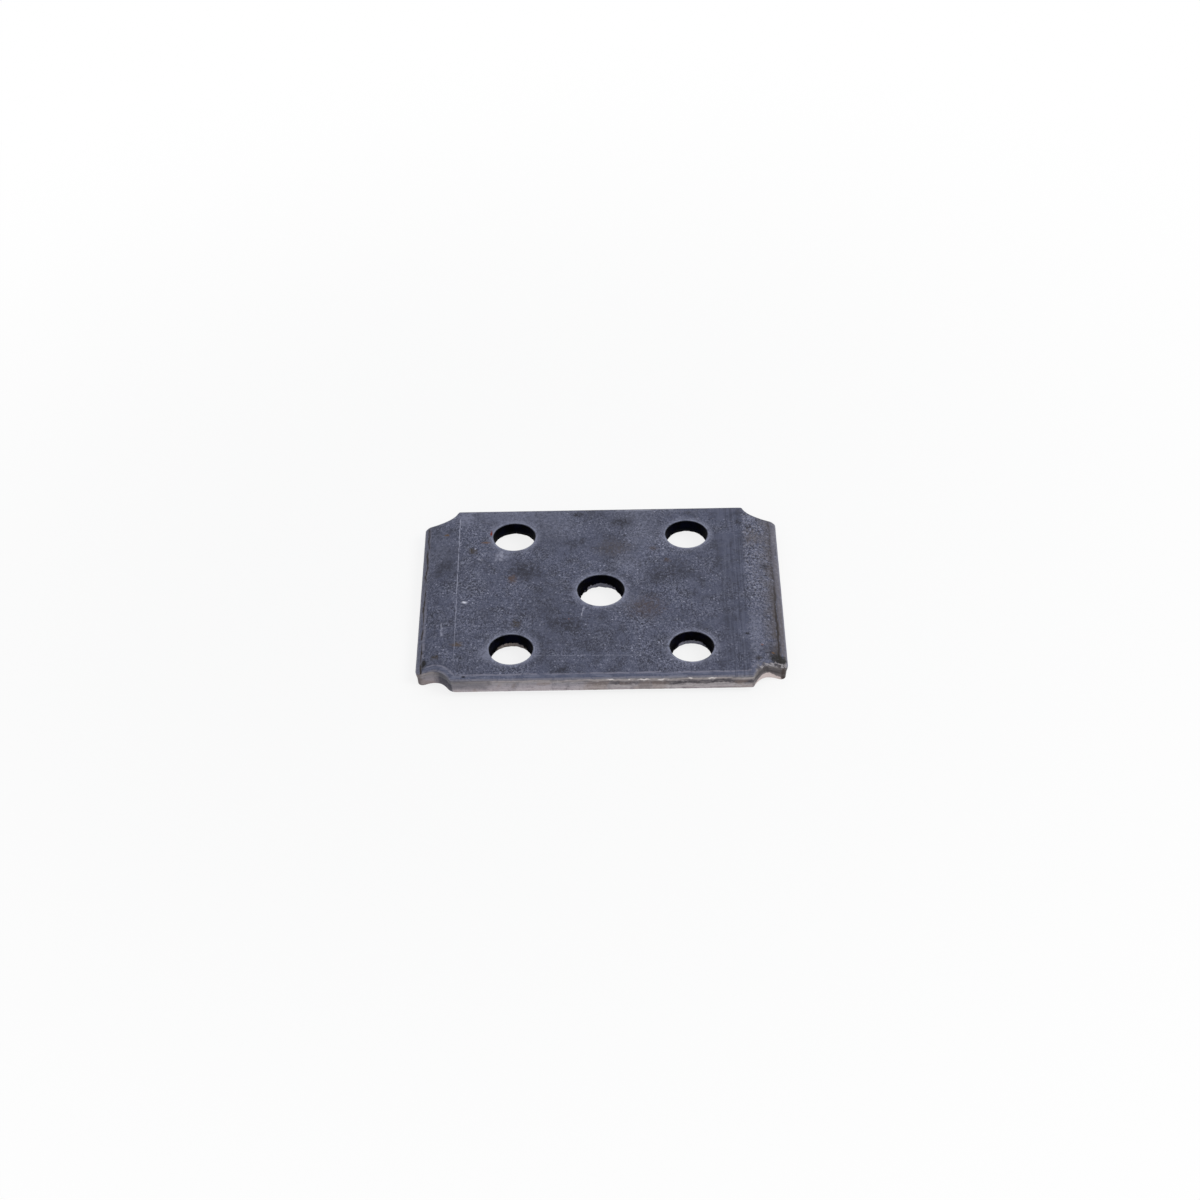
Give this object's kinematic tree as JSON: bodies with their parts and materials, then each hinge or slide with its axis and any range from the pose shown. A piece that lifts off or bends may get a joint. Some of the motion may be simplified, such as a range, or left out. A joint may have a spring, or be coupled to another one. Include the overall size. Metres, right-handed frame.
{
  "type": "leaf spring tie plate",
  "caption": "Hot-rolled steel tie plate with turned-down ends, notched corners and round U-bolt holes about a centre hole, for clamping a leaf spring to an axle.",
  "frame": {"origin": "on the centre hole's axis, at the level of the lower edges of the turned-down ends, which the plate stands on", "axes": "+X along the plate, across the bent ends; +Y across the plate; +Z along the hole axes, out of the face that the spring sits on"},
  "size_m": [0.1202, 0.0856, 0.0073],
  "materials": {
    "plate": "matt hot-rolled mill scale, blue-grey, with bare sheared edges"
  },
  "bodies": {
    "root": {"tie_plate": "plate"}
  },
  "joints": []
}
